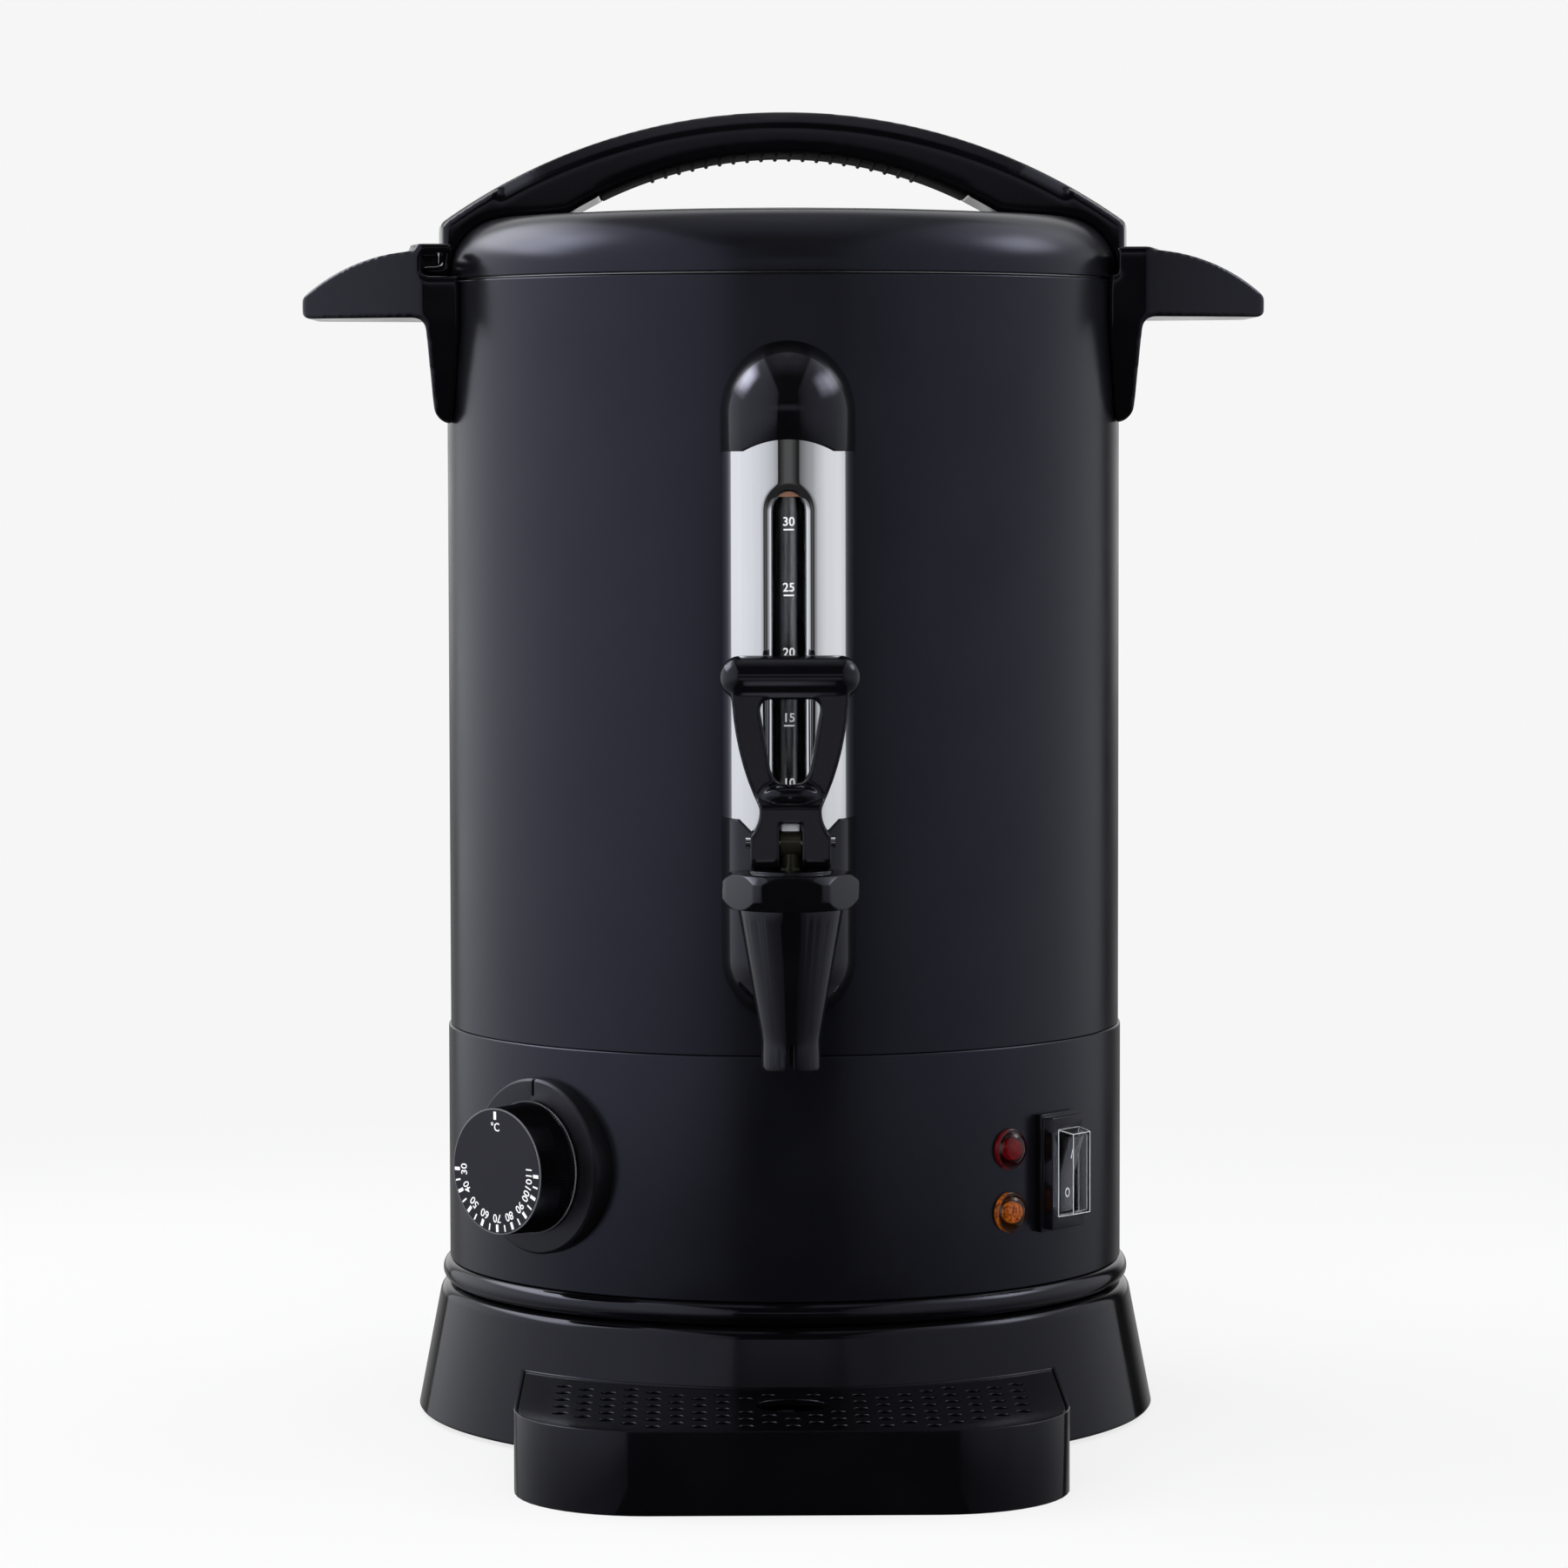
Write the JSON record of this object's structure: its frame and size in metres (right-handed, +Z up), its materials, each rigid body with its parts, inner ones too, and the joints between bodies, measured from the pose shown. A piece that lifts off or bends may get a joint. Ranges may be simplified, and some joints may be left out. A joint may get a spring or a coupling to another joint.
{
  "type": "hot drinks urn",
  "caption": "Black steel mulled wine urn with a twist-lock lid under an arched handle, a sight gauge, a lever tap, a thermostat knob, a rocker switch and a drip tray.",
  "frame": {"origin": "on the urn's vertical axis, at floor level, in the middle of the four feet", "axes": "+Z up, -Y to the front where the tap is, +X to the right seen from the front"},
  "size_m": [0.3188, 0.3209, 0.4345],
  "materials": {
    "black_steel": "satin black",
    "black_gloss": "gloss black",
    "black_satin": "satin black",
    "black_matte": "matte black",
    "cream_plastic": "matte cream",
    "stem_plastic": "matte grey green",
    "vessel_steel": "brushed",
    "element_steel": "dull",
    "screw_steel": "plain",
    "zinc": "galvanised",
    "polished_steel": "polished",
    "foot_rubber": "matte",
    "grey_rubber": "matte",
    "brown_rubber": "matte",
    "lens_red": "translucent red",
    "lens_amber": "translucent amber",
    "clear_cover": "clear",
    "gauge_glass": "clear"
  },
  "bodies": {
    "urn": {"base_plate": "zinc", "feet": "foot_rubber", "base_screws": "screw_steel", "base_skirt": "black_gloss", "bead_ring": "black_gloss", "control_housing": "black_steel", "body_screws": "screw_steel", "cord_gland": "black_matte", "terminal_block": "cream_plastic", "heat_shield": "zinc", "heating_element": "element_steel", "thermal_cutout": "black_matte", "outer_jacket": "black_steel", "vessel": "vessel_steel", "thermostat": "cream_plastic", "knob_bezel": "black_satin", "lamp_red": "lens_red", "lamp_amber": "lens_amber", "switch_frame": "black_gloss", "switch_body": "black_matte", "switch_cover": "clear_cover", "shank_tee": "vessel_steel", "shank_washers": "brown_rubber", "shank_nut": "screw_steel", "gauge_cover": "black_gloss", "gauge_cap": "black_gloss", "gauge_shield": "polished_steel", "gauge_tube": "gauge_glass", "gauge_seals": "brown_rubber", "gauge_screws": "screw_steel", "tap_body": "black_gloss", "tap_bonnet": "black_gloss", "side_handle_left": "black_gloss", "side_handle_right": "black_gloss", "handle_screws": "screw_steel"},
    "lid_ring": {"lid_seal": "grey_rubber"},
    "lid": {"lid_pan": "black_steel", "lid_handle": "black_gloss", "lid_handle_grip": "black_satin", "lid_screws": "screw_steel"},
    "tap_stem": {"tap_stem": "stem_plastic", "tap_seat": "grey_rubber", "tap_pin": "polished_steel"},
    "tap_lever": {"tap_lever": "black_gloss"},
    "knob": {"knob": "black_gloss", "knob_shaft": "screw_steel"},
    "switch_rocker": {"switch_rocker": "black_gloss"},
    "drip_tray": {"drip_tray": "black_gloss"},
    "drip_grate": {"drip_grate": "black_gloss"}
  },
  "joints": [
    {"name": "lid_turn", "type": "hinge", "parent": "urn", "child": "lid_ring", "pos_m": [0, 0, 0.3796], "axis": [0, 0, 1], "range_deg": [0, 7]},
    {"name": "lid_lift", "type": "slide", "parent": "lid_ring", "child": "lid", "axis": [0, 0, 1], "range_m": [0, 0.12]},
    {"name": "stem_lift", "type": "slide", "parent": "urn", "child": "tap_stem", "axis": [0, 0, 1], "range_m": [0, 0.003]},
    {"name": "lever_tilt", "type": "hinge", "parent": "tap_stem", "child": "tap_lever", "pos_m": [0, -0.15, 0.2015], "axis": [1, 0, 0], "range_deg": [0, 35], "stiffness_Nm_per_rad": 0.2, "springref_deg": -22.92},
    {"name": "knob_turn", "type": "hinge", "parent": "urn", "child": "knob", "pos_m": [-0.07934, -0.08074, 0.092], "axis": [-0.7009, -0.7133, 0], "range_deg": [-268, 0]},
    {"name": "switch_rock", "type": "hinge", "parent": "urn", "child": "switch_rocker", "pos_m": [0.08924, -0.07488, 0.0887], "axis": [0.6428, 0.766, 0], "range_deg": [-16, 0]},
    {"name": "tray_slide", "type": "slide", "parent": "urn", "child": "drip_tray", "axis": [0, -1, 0], "range_m": [0, 0.1]},
    {"name": "grate_lift", "type": "slide", "parent": "drip_tray", "child": "drip_grate", "axis": [0, 0, 1], "range_m": [0, 0.04]}
  ],
  "couplings": [
    {"joint": "stem_lift", "follows": "lever_tilt", "m_per_rad": 0.0049}
  ]
}
